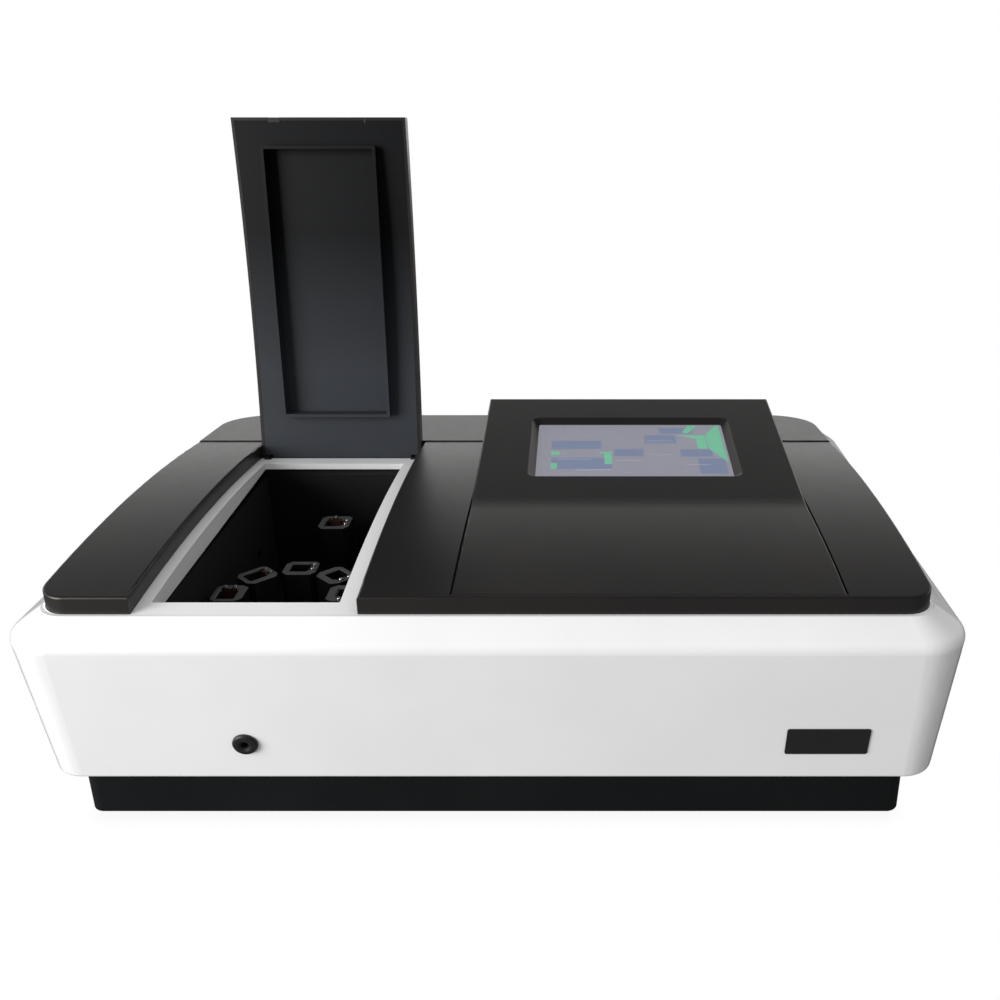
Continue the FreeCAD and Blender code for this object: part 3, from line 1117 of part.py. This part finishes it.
NODES = {
    "base_pan": base_pan, "rubber_feet": rubber_feet, "housing_shell": housing_shell,
    "left_cover": left_cover, "right_cover": right_cover, "rear_cover": rear_cover,
    "display_console": display_console, "touch_glass": touch_glass, "screen_panel": screen_panel,
    "display_board": display_board, "tube_port": tube_port, "name_plate": name_plate,
    "lid_shell": lid_shell, "lid_liner": lid_liner, "lid_magnet": lid_magnet,
    "lid_catch_tab": lid_catch_tab, "lid_hinge_arms": lid_hinge_arms,
    "hinge_trough": hinge_trough, "hinge_pins": hinge_pins, "chamber_liner": chamber_liner,
    "beam_windows": beam_windows, "cell_holders": cell_holders, "cell_springs": cell_springs,
    "cell_ball_pins": cell_ball_pins, "carousel_hub": carousel_hub,
    "carousel_bearing": carousel_bearing, "carousel_motor": carousel_motor,
    "reference_holder": reference_holder,
    "reference_springs": reference_springs, "reference_ball_pins": reference_ball_pins,
    "optical_bench": optical_bench,
    "detector_housings": detector_housings, "photodiodes": photodiodes,
    "monochromator_housing": monochromator_housing, "monochromator_lid": monochromator_lid,
    "slit_plates": slit_plates, "collimating_mirrors": collimating_mirrors,
    "beam_splitter": beam_splitter, "grating_table": grating_table,
    "diffraction_grating": diffraction_grating,
    "grating_motor": grating_motor, "lamp_housing": lamp_housing,
    "lamp_bulbs": lamp_bulbs, "lamp_bases": lamp_bases,
    "source_mirror": source_mirror, "source_mirror_motor": source_mirror_motor,
    "filter_wheel": filter_wheel, "filter_bracket": filter_bracket,
    "main_board": main_board, "power_supply": power_supply, "rear_panel": rear_panel,
    "rear_screws": rear_screws, "housing_screws": housing_screws, "mains_inlet": mains_inlet,
    "fuse_drawer": fuse_drawer,
    "switch_frame": switch_frame, "power_rocker": power_rocker, "data_ports": data_ports,
    "fan_frame": fan_frame, "fan_rotor": fan_rotor,
}

os.makedirs("parts", exist_ok=True)
for node, make in NODES.items():
    made = make()
    save(node, *(made if isinstance(made, list) else [made]))
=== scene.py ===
"""Looks of a bench-top spectrophotometer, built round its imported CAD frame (metres, +Y to the back)."""
import json
import math

import bmesh
import bpy
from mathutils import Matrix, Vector


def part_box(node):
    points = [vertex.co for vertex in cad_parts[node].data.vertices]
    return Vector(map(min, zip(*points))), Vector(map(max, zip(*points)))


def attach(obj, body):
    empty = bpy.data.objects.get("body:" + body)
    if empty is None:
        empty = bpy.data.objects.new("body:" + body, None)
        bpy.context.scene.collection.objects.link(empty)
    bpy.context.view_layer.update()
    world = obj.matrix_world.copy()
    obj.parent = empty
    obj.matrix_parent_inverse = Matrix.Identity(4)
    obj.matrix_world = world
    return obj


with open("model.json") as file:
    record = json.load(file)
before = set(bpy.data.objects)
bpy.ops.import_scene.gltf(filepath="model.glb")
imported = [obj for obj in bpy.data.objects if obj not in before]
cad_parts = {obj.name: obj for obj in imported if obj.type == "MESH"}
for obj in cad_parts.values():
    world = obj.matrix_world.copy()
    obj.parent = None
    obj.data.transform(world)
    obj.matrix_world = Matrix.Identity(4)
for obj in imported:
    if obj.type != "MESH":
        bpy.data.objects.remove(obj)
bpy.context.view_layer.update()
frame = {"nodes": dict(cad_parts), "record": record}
MM = 0.001
HERO_AT = (58.85 * MM, -775.3 * MM, 469.9 * MM)
CONSOLE_RISE = (186.5, 25.4)
PANEL_THICKNESS = 5.5 * MM
LENS = 37.37
CAMERA_DOWN = 21.98
FRAME_SHIFT = -0.081


# Blender keeps a mix node's colour sockets at these places in its lists.
MIX_COLOUR_A = 6
MIX_COLOUR_B = 7
MIX_COLOUR_OUT = 2


# Node helpers ------------------------------------------------------------------------------
class Finish:
    """A procedural material under construction, textured in the frame's own metres."""

    def __init__(self, name):
        self.material = bpy.data.materials.new(name)
        self.material.use_nodes = True
        self.tree = self.material.node_tree
        self.shader = self.tree.nodes["Principled BSDF"]
        self.place = self.node("ShaderNodeTexCoord").outputs["Object"]
        self.bump = None

    def node(self, kind, **settings):
        made = self.tree.nodes.new(kind)
        for key, value in settings.items():
            setattr(made, key, value)
        return made

    def link(self, output, target):
        self.tree.links.new(output, target)

    def set(self, **values):
        for key, value in values.items():
            name = key.replace("_", " ").title().replace("Ior", "IOR")
            self.shader.inputs[name].default_value = value
        return self

    def stretched(self, factors):
        mapping = self.node("ShaderNodeMapping")
        mapping.inputs["Scale"].default_value = factors
        self.link(self.place, mapping.inputs["Vector"])
        return mapping.outputs["Vector"]

    def noise(self, size, detail=3.0, roughness=0.5, where=None):
        """Noise whose features are about size metres across."""
        made = self.node("ShaderNodeTexNoise")
        made.inputs["Scale"].default_value = 1.0 / size
        made.inputs["Detail"].default_value = detail
        made.inputs["Roughness"].default_value = roughness
        self.link(where or self.place, made.inputs["Vector"])
        return made.outputs["Fac"]

    def ramp(self, value, stops):
        made = self.node("ShaderNodeValToRGB")
        elements = made.color_ramp.elements
        for index, (at, colour) in enumerate(stops):
            element = elements[index] if index < 2 else elements.new(at)
            element.position = at
            element.color = (*colour, 1.0)
        self.link(value, made.inputs["Fac"])
        return made.outputs["Color"]

    def span(self, value, low, high, clamp=True):
        """Map 0..1 onto low..high."""
        made = self.node("ShaderNodeMapRange", clamp=clamp)
        made.inputs["To Min"].default_value = low
        made.inputs["To Max"].default_value = high
        self.link(value, made.inputs["Value"])
        return made.outputs["Result"]

    def relief(self, height, depth, strength=1.0):
        """Add a bump layer; depth is metres of height."""
        made = self.node("ShaderNodeBump")
        made.inputs["Distance"].default_value = depth
        made.inputs["Strength"].default_value = strength
        self.link(height, made.inputs["Height"])
        if self.bump:
            self.link(self.bump.outputs["Normal"], made.inputs["Normal"])
        self.bump = made
        self.link(made.outputs["Normal"], self.shader.inputs["Normal"])

    def colour(self, value, dark, light):
        self.link(self.ramp(value, [(0.3, dark), (0.7, light)]), self.shader.inputs["Base Color"])

    def painted_edge_shade(self, tone):
        """Painted shade: darken the colour where the surface turns away from the eye."""
        facing = self.node("ShaderNodeLayerWeight").outputs["Facing"]
        edge_shade_mix = self.node("ShaderNodeMix", data_type="RGBA", blend_type="MULTIPLY")
        edge_shade_mix.inputs["Factor"].default_value = 1.0
        paint = self.shader.inputs["Base Color"].links[0].from_socket
        shade = self.ramp(facing, [(0.74, grey(1.0)), (0.97, grey(tone))])
        self.link(paint, edge_shade_mix.inputs[MIX_COLOUR_A])
        self.link(shade, edge_shade_mix.inputs[MIX_COLOUR_B])
        self.link(edge_shade_mix.outputs[MIX_COLOUR_OUT], self.shader.inputs["Base Color"])

    def gloss(self, value, low, high):
        self.link(self.span(value, low, high), self.shader.inputs["Roughness"])


def plastic(name, dark, light, grain=0.5 * MM, depth=0.02 * MM, rough=(0.38, 0.5), ior=1.5, strength=0.6):
    """Moulded or painted skin: slight colour drift, fine grain and uneven gloss."""
    made = Finish(name)
    drift = made.noise(60 * MM, detail=2.0)
    fine = made.noise(grain, detail=2.0, roughness=0.6)
    made.colour(drift, dark, light)
    made.gloss(made.noise(8 * MM, detail=4.0), *rough)
    made.relief(fine, depth, strength)
    made.set(ior=ior)
    return made


def metal(name, tint, rough=(0.2, 0.35), brush=(1, 1, 1), depth=0.004 * MM):
    made = Finish(name)
    streaks = made.noise(0.4 * MM, detail=3.0, where=made.stretched(brush))
    low = tuple(channel * 0.86 for channel in tint)
    made.colour(made.noise(12 * MM, detail=3.0), low, tint)
    made.gloss(streaks, *rough)
    made.relief(streaks, depth, 0.5)
    made.set(metallic=1.0)
    return made


def grey(level, warm=0.0):
    return (level * (1 + warm), level, level * (1 - warm))


FINISHES = {
    "housing_white": plastic("housing_white", (0.80, 0.80, 0.81), (0.83, 0.83, 0.83),
                             1.1 * MM, 0.05 * MM, (0.42, 0.5)),
    "cover_black": plastic("cover_black", (0.012, 0.0115, 0.012), (0.0145, 0.0135, 0.0135),
                           0.45 * MM, 0.03 * MM, (0.34, 0.40)),
    "pan_black": plastic("pan_black", (0.004, 0.005, 0.0055), (0.006, 0.007, 0.0075),
                         0.9 * MM, 0.03 * MM, (0.45, 0.55), ior=1.3),
    "foot_rubber": plastic("foot_rubber", grey(0.012), grey(0.018), 0.7 * MM, 0.05 * MM, (0.7, 0.85)),
    "port_rubber": plastic("port_rubber", grey(0.008), grey(0.012), 0.6 * MM, 0.03 * MM, (0.42, 0.55)),
    "blank_plate": plastic("blank_plate", grey(0.012), grey(0.016), 0.5 * MM, 0.01 * MM, (0.3, 0.36)),
    "magnet_black": plastic("magnet_black", grey(0.006), grey(0.009), 0.8 * MM, 0.02 * MM, (0.5, 0.6)),
    "chamber_black": plastic("chamber_black", grey(0.0035), grey(0.005), 0.9 * MM, 0.03 * MM, (0.75, 0.85)),
    "motor_black": plastic("motor_black", grey(0.018), grey(0.024), 0.8 * MM, 0.03 * MM, (0.45, 0.55)),
    "optic_black": plastic("optic_black", grey(0.012), grey(0.016), 0.8 * MM, 0.04 * MM, (0.65, 0.78)),
    "socket_black": plastic("socket_black", grey(0.014), grey(0.019), 0.5 * MM, 0.02 * MM, (0.38, 0.48)),
    "rocker_black": plastic("rocker_black", grey(0.010), grey(0.014), 0.4 * MM, 0.01 * MM, (0.2, 0.3)),
    "circuit_board": plastic("circuit_board", (0.006, 0.055, 0.022), (0.010, 0.075, 0.03),
                             3.0 * MM, 0.02 * MM, (0.3, 0.42)),
    "ceramic_white": plastic("ceramic_white", grey(0.66, 0.03), grey(0.74, 0.02),
                             0.5 * MM, 0.02 * MM, (0.5, 0.6)),
    "panel_grey": plastic("panel_grey", grey(0.28), grey(0.31), 0.9 * MM, 0.04 * MM, (0.42, 0.52)),
    "bright_steel": metal("bright_steel", grey(0.72), (0.14, 0.24)),
    "polished_steel": metal("polished_steel", grey(0.92), (0.22, 0.32)),
    "zinc_sheet": metal("zinc_sheet", (0.52, 0.54, 0.56), (0.32, 0.48), (1, 30, 1)),
    "cast_aluminium": metal("cast_aluminium", (0.55, 0.56, 0.57), (0.42, 0.58), depth=0.03 * MM),
    "leaf_copper": metal("leaf_copper", (0.72, 0.30, 0.19), (0.22, 0.36), (30, 30, 1)),
    "bearing_bronze": metal("bearing_bronze", (0.62, 0.42, 0.20), (0.25, 0.4)),
    "mirror_face": metal("mirror_face", grey(0.9), (0.02, 0.05)),
    "screen_face": plastic("screen_face", (0.25, 0.25, 0.285), (0.28, 0.28, 0.315),
                           1.0 * MM, 0.005 * MM, (0.3, 0.34)),
}


def clear(name, tint, rough):
    made = Finish(name)
    made.set(transmission_weight=1.0, ior=1.46, base_color=(*tint, 1.0))
    made.gloss(made.noise(5 * MM), rough, rough + 0.03)
    made.relief(made.noise(30 * MM), 0.02 * MM, 0.2)
    return made


def painted_top_light(name, sides, top):
    """Black anodised block with painted light and shade: its upward faces are coloured paler than its
    sides.
    """
    made = plastic(name, sides, top, 0.4 * MM, 0.02 * MM, (0.36, 0.46))
    upward = made.node("ShaderNodeSeparateXYZ")
    made.link(made.node("ShaderNodeNewGeometry").outputs["Normal"], upward.inputs["Vector"])
    made.colour(upward.outputs["Z"], sides, top)
    return made


def painted_light_towards_hinge(name, far, near, top_z, low_z):
    """Satin moulding with painted light: coloured a little paler towards its hinge end."""
    made = plastic(name, far, near, 0.6 * MM, 0.03 * MM, (0.42, 0.5), ior=1.3)
    height = made.node("ShaderNodeSeparateXYZ")
    made.link(made.place, height.inputs["Vector"])
    fade = made.node("ShaderNodeMapRange")
    fade.inputs["From Min"].default_value = top_z
    fade.inputs["From Max"].default_value = low_z
    made.link(height.outputs["Z"], fade.inputs["Value"])
    made.colour(fade.outputs["Result"], far, near)
    return made


LID_LOW, LID_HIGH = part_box("lid_liner")
# Painted light: the lid's underside is coloured darker at its top and paler towards its lower, hinge end.
FINISHES["lid_inner"] = painted_light_towards_hinge("lid_inner", (0.003, 0.0035, 0.0045), (0.031, 0.035, 0.042),
                                    LID_HIGH.z, LID_LOW.z)
# Painted light and shade: holder tops coloured paler, holder sides near-black.
FINISHES["holder_black"] = painted_top_light("holder_black", grey(0.004), grey(0.075))
# Painted shade: the white housing is coloured darker towards its silhouette.
FINISHES["housing_white"].painted_edge_shade(0.3)
FINISHES["cover_black"].set(specular_tint=(1.0, 0.93, 0.84, 1.0))
FINISHES["screen_face"].set(emission_color=(0.27, 0.265, 0.30, 1.0), emission_strength=1.1)
FINISHES["quartz"] = clear("quartz", (1, 1, 1), 0.01)
FINISHES["lamp_glass"] = clear("lamp_glass", (1, 0.99, 0.97), 0.02)
FINISHES["screen_glass"] = clear("screen_glass", (0.95, 0.97, 1.0), 0.03)


def dress_cad_nodes():
    for part in frame["record"]["subparts"]:
        mesh = frame["nodes"][part["node"]].data
        mesh.materials.clear()
        mesh.materials.append(FINISHES[part["material_slot"]].material)


dress_cad_nodes()


# Screen picture -----------------------------------------------------------------------------
SLOPE = math.atan2(CONSOLE_RISE[1], CONSOLE_RISE[0])
PICTURE_GRAIN = 0.06 * MM


def screen_point(across, up, lift):
    """Place on the display face: across to the right, up the slope, lifted off it."""
    low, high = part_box("screen_panel")
    along = Vector((0, math.cos(SLOPE), math.sin(SLOPE)))
    out = Vector((0, -math.sin(SLOPE), math.cos(SLOPE)))
    face_middle = (low + high) / 2 + out * PANEL_THICKNESS / 2
    return face_middle + Vector((across * MM, 0, 0)) + along * up * MM + out * lift


def screen_patch(shape, corners, lift):
    """Add one thin closed slab of the picture, its outline given in millimetres on the screen."""
    lower = [shape.verts.new(screen_point(u, v, lift)) for u, v in corners]
    upper = [shape.verts.new(screen_point(u, v, lift + PICTURE_GRAIN)) for u, v in corners]
    shape.faces.new(upper)
    shape.faces.new(lower[::-1])
    count = len(corners)
    for index in range(count):
        after = (index + 1) % count
        shape.faces.new((lower[index], lower[after], upper[after], upper[index]))


def tile(left, low, right, high):
    return [(left, low), (right, low), (right, high), (left, high)]


def screen_layer(name, outlines, lift, finish):
    mesh = bpy.data.meshes.new(name)
    shape = bmesh.new()
    for corners in outlines:
        screen_patch(shape, corners, lift)
    shape.to_mesh(mesh)
    shape.free()
    mesh.materials.append(finish.material)
    made = bpy.data.objects.new(name, mesh)
    bpy.context.scene.collection.objects.link(made)
    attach(made, "chassis")


def lit(name, tint, strength, grain):
    """A part of the picture: it gives off its own soft light."""
    made = plastic(name, tint, tint, grain, 0.004 * MM, (0.3, 0.36))
    made.set(emission_color=(*tint, 1.0), emission_strength=strength)
    return made


def screen_picture():
    blue = [tile(-66, -32, -17, -13), tile(-15, -10, 9, 3), tile(11, 13, 37, 28),
            tile(39, -11, 65, 2), tile(24, 31, 52, 42), tile(-66, 3, -25, 18), tile(52, -40, 74, -14)]
    bars = [tile(-46, -34, -18, -33), tile(-60, -16, -34, -15.4), tile(13, 17, 34, 17.6),
            tile(42, -25, 62, -24.4), tile(-13, -18, 8, -17.4), tile(13, -8, 33, -7.4)]
    mint = [tile(-66, -32, -61, -22), tile(-66, -8, -59, -2), tile(-23, -24, -17, -4),
            [(-26, -5), (-17, -5), (-17, -3), (-27, -3)],
            [(39, 28), (62, 28), (62, 3), (54, 3), (54, 22)],
            [(63, 3), (63, 30), (72, 46), (75, 46), (76, -20)],
            [(48, 32), (57, 46), (49, 46), (43, 33)]]
    screen_layer("screen_tiles", blue, 0.0, lit("screen_blue", (0.22, 0.255, 0.36), 0.9, 1 * MM))
    screen_layer("screen_bars", bars, PICTURE_GRAIN, lit("screen_pale", (0.36, 0.39, 0.46), 0.85, 1 * MM))
    screen_layer("screen_mint", mint, PICTURE_GRAIN, lit("screen_green", (0.18, 0.46, 0.31), 0.85, 1 * MM))


# Stage ---------------------------------------------------------------------------------------
KEY_FROM = (-2.0, -1.55, 0.76)
KEY_POWER = 79
KEY_SIZE = (1.6, 1.6)
KEY_AIM = (0, 0, 0.1)
AMBIENT = (0.30, 0.80)
MIRROR_HEIGHTS = (0.57, 0.05)
MIRROR_LEVELS = (0.04, 1.65)
BEHIND_FROM = (-0.35, 0.55)
BEHIND_LEVELS = (0.03, 1.0)
FLOOR_REACH = 6.0
FLOOR_DROP = 0.0004
FLOOR_MIRRORED = 0.12
CONTACT_REACH = 0.012


def remap(nodes, links, value, source, target, blend):
    """Map the range source onto target, held at its ends; returns the socket."""
    made = nodes.new("ShaderNodeMapRange")
    made.interpolation_type = blend
    made.inputs["From Min"].default_value, made.inputs["From Max"].default_value = source
    made.inputs["To Min"].default_value, made.inputs["To Max"].default_value = target
    links.new(value, made.inputs["Value"])
    return made.outputs["Result"]


def studio_world():
    """White behind the object; soft fill from above; reflections bright only low and behind."""
    world = bpy.data.worlds.new("studio")
    world.use_nodes = True
    nodes, links = world.node_tree.nodes, world.node_tree.links
    place = nodes.new("ShaderNodeTexCoord").outputs["Generated"]
    split = nodes.new("ShaderNodeSeparateXYZ")
    links.new(place, split.inputs["Vector"])
    climb = remap(nodes, links, split.outputs["Z"], MIRROR_HEIGHTS, MIRROR_LEVELS, "SMOOTHSTEP")
    behind = remap(nodes, links, split.outputs["Y"], BEHIND_FROM, BEHIND_LEVELS, "SMOOTHSTEP")
    mirror = nodes.new("ShaderNodeMath")
    mirror.operation = "MULTIPLY"
    links.new(climb, mirror.inputs[0])
    links.new(behind, mirror.inputs[1])
    rays = nodes.new("ShaderNodeLightPath")
    fill = nodes.new("ShaderNodeMix")
    overhead = remap(nodes, links, split.outputs["Z"], (0.0, 1.0), AMBIENT, "LINEAR")
    links.new(overhead, fill.inputs["A"])
    links.new(rays.outputs["Is Glossy Ray"], fill.inputs["Factor"])
    links.new(mirror.outputs["Value"], fill.inputs["B"])
    seen = nodes.new("ShaderNodeMix")
    seen.inputs["B"].default_value = 1.0
    links.new(rays.outputs["Is Camera Ray"], seen.inputs["Factor"])
    links.new(fill.outputs["Result"], seen.inputs["A"])
    links.new(seen.outputs["Result"], nodes["Background"].inputs["Strength"])
    nodes["Background"].inputs["Color"].default_value = (1.0, 1.0, 1.0, 1.0)
    bpy.context.scene.world = world
    bpy.context.scene.view_settings.view_transform = "Standard"


def floor_paint():
    """Even white seen from above with a faint contact shade; clear from below."""
    paint = bpy.data.materials.new("floor_white")
    paint.use_nodes = True
    paint.cycles.emission_sampling = "NONE"
    nodes, links = paint.node_tree.nodes, paint.node_tree.links
    nodes.clear()
    rays = nodes.new("ShaderNodeLightPath")
    contact = nodes.new("ShaderNodeAmbientOcclusion")
    contact.samples = 4
    contact.inputs["Distance"].default_value = CONTACT_REACH
    bright = nodes.new("ShaderNodeMapRange")
    bright.inputs["To Min"].default_value = 0.9
    links.new(contact.outputs["AO"], bright.inputs["Value"])
    bounced = nodes.new("ShaderNodeMix")
    bounced.inputs["A"].default_value = AMBIENT[0]
    bounced.inputs["B"].default_value = FLOOR_MIRRORED
    links.new(rays.outputs["Is Glossy Ray"], bounced.inputs["Factor"])
    strength = nodes.new("ShaderNodeMix")
    links.new(rays.outputs["Is Camera Ray"], strength.inputs["Factor"])
    links.new(bounced.outputs["Result"], strength.inputs["A"])
    links.new(bright.outputs["Result"], strength.inputs["B"])
    glow = nodes.new("ShaderNodeEmission")
    links.new(strength.outputs["Result"], glow.inputs["Strength"])
    sided = nodes.new("ShaderNodeMixShader")
    links.new(nodes.new("ShaderNodeNewGeometry").outputs["Backfacing"], sided.inputs["Fac"])
    links.new(glow.outputs["Emission"], sided.inputs[1])
    links.new(nodes.new("ShaderNodeBsdfTransparent").outputs["BSDF"], sided.inputs[2])
    output = nodes.new("ShaderNodeOutputMaterial")
    links.new(sided.outputs["Shader"], output.inputs["Surface"])
    return paint


def studio_floor():
    mesh = bpy.data.meshes.new("floor")
    shape = bmesh.new()
    bmesh.ops.create_grid(shape, x_segments=1, y_segments=1, size=FLOOR_REACH)
    shape.to_mesh(mesh)
    shape.free()
    mesh.materials.append(floor_paint())
    made = bpy.data.objects.new("floor", mesh)
    made.location.z = -FLOOR_DROP
    bpy.context.scene.collection.objects.link(made)


def softbox(name, at, target, size, power):
    light = bpy.data.lights.new(name, "AREA")
    light.shape = "RECTANGLE"
    light.size, light.size_y = size
    light.energy = power
    made = bpy.data.objects.new(name, light)
    made.location = at
    made.rotation_mode = "QUATERNION"
    made.rotation_quaternion = (Vector(target) - Vector(at)).to_track_quat("-Z", "Y")
    bpy.context.scene.collection.objects.link(made)


def hero_camera():
    """Eye a little right of the body's middle, above and in front, with the frame shifted left.

    The shift is driven by the camera's height, so it is off when the camera is moved elsewhere.
    """
    data = bpy.data.cameras.new("hero")
    data.sensor_width = 36.0
    data.lens = LENS
    data.clip_start = 0.01
    camera = bpy.data.objects.new("hero", data)
    camera.location = HERO_AT
    camera.rotation_euler = (math.radians(90.0 - CAMERA_DOWN), 0.0, 0.0)
    bpy.context.scene.collection.objects.link(camera)
    bpy.context.scene.camera = camera
    follow = data.driver_add("shift_x").driver
    follow.type = "SCRIPTED"
    height = follow.variables.new()
    height.name = "height"
    height.type = "TRANSFORMS"
    height.targets[0].id = camera
    height.targets[0].transform_type = "LOC_Z"
    follow.expression = f"{FRAME_SHIFT} if abs(height - {HERO_AT[2]:.4f}) < 0.0005 else 0.0"


screen_picture()
studio_world()
studio_floor()
softbox("key", KEY_FROM, KEY_AIM, KEY_SIZE, KEY_POWER)
hero_camera()
